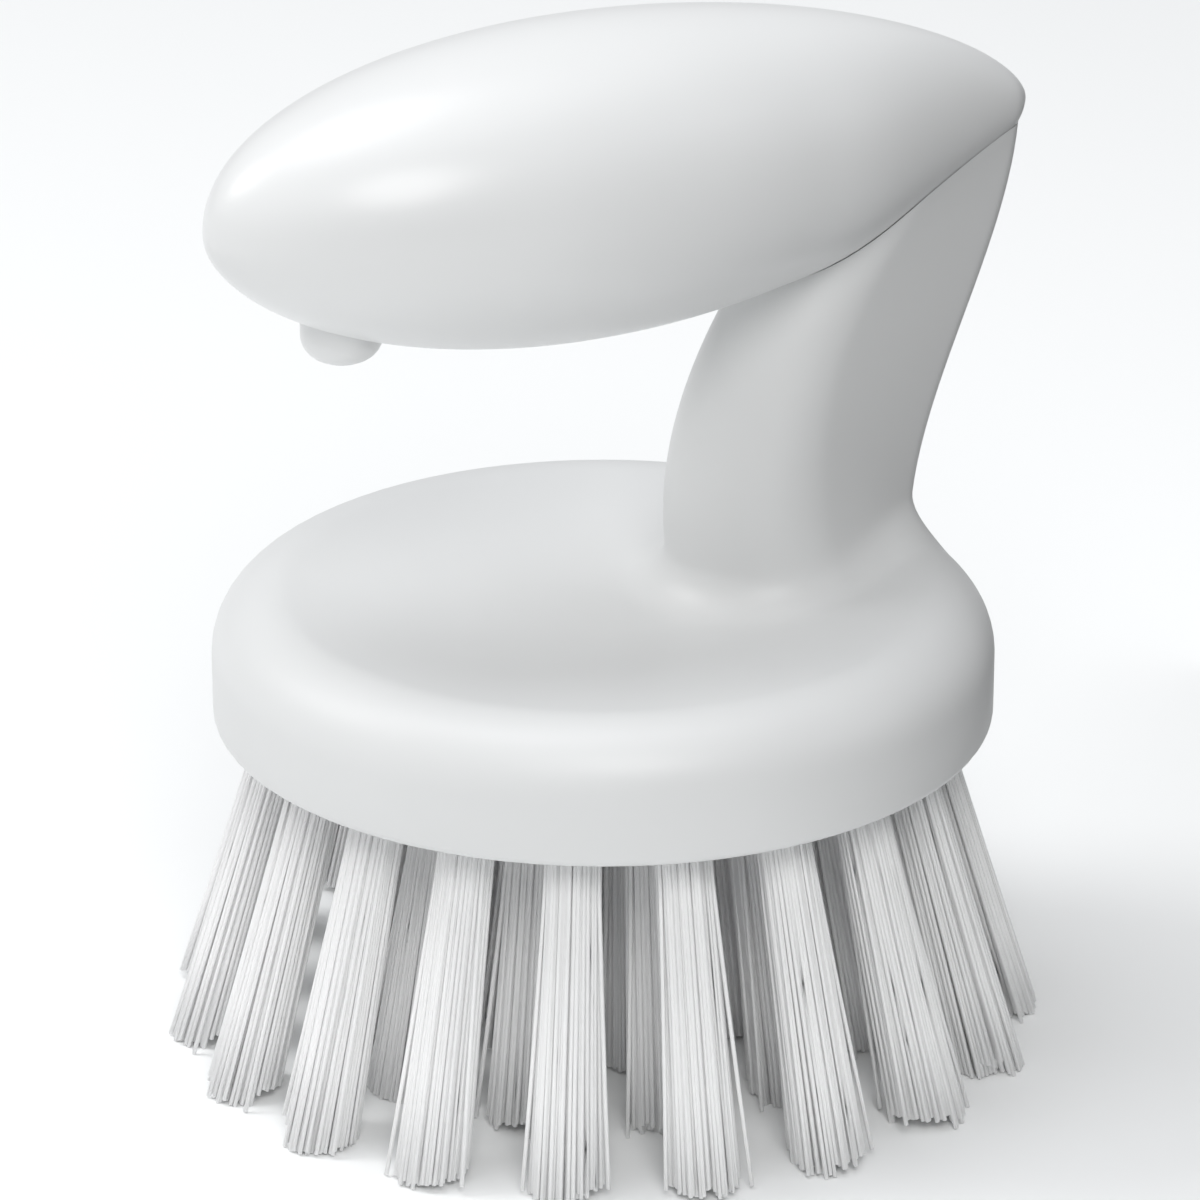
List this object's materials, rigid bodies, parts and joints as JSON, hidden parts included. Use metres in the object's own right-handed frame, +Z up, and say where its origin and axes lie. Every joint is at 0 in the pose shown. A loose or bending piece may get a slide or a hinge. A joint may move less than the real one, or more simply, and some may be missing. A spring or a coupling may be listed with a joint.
{
  "type": "vegetable brush",
  "caption": "Round vegetable scrubbing brush: a dished head with splayed bristle tufts below and a palm grip cantilevered over it on a curved neck.",
  "frame": {"origin": "on the head's axis, in the plane of the trimmed bristle tips that the brush stands on", "axes": "+Z up along the head's axis, +X towards the neck and the grip's tail, XZ the middle plane that halves the grip and the neck"},
  "size_m": [0.0847, 0.0815, 0.0973],
  "materials": {
    "body_plastic": "satin white injection moulding",
    "plate_plastic": "satin white injection moulding",
    "grip_plastic": "smooth satin white injection moulding",
    "anchor_wire": "flat drawn stainless wire",
    "filament": "white nylon filament, drawn smooth"
  },
  "bodies": {
    "root": {"brush_body": "body_plastic", "bristle_plate": "plate_plastic", "palm_grip": "grip_plastic", "grip_peg": "grip_plastic", "tuft_anchors": "anchor_wire", "tuft_centre": "filament", "tuft_inner_1": "filament", "tuft_inner_2": "filament", "tuft_inner_3": "filament", "tuft_inner_4": "filament", "tuft_inner_5": "filament", "tuft_inner_6": "filament", "tuft_inner_7": "filament", "tuft_middle_1": "filament", "tuft_middle_2": "filament", "tuft_middle_3": "filament", "tuft_middle_4": "filament", "tuft_middle_5": "filament", "tuft_middle_6": "filament", "tuft_middle_7": "filament", "tuft_middle_8": "filament", "tuft_middle_9": "filament", "tuft_middle_10": "filament", "tuft_middle_11": "filament", "tuft_middle_12": "filament", "tuft_outer_1": "filament", "tuft_outer_2": "filament", "tuft_outer_3": "filament", "tuft_outer_4": "filament", "tuft_outer_5": "filament", "tuft_outer_6": "filament", "tuft_outer_7": "filament", "tuft_outer_8": "filament", "tuft_outer_9": "filament", "tuft_outer_10": "filament", "tuft_outer_11": "filament", "tuft_outer_12": "filament", "tuft_outer_13": "filament", "tuft_outer_14": "filament", "tuft_outer_15": "filament", "tuft_outer_16": "filament", "tuft_outer_17": "filament", "tuft_outer_18": "filament", "tuft_outer_19": "filament"}
  },
  "joints": []
}
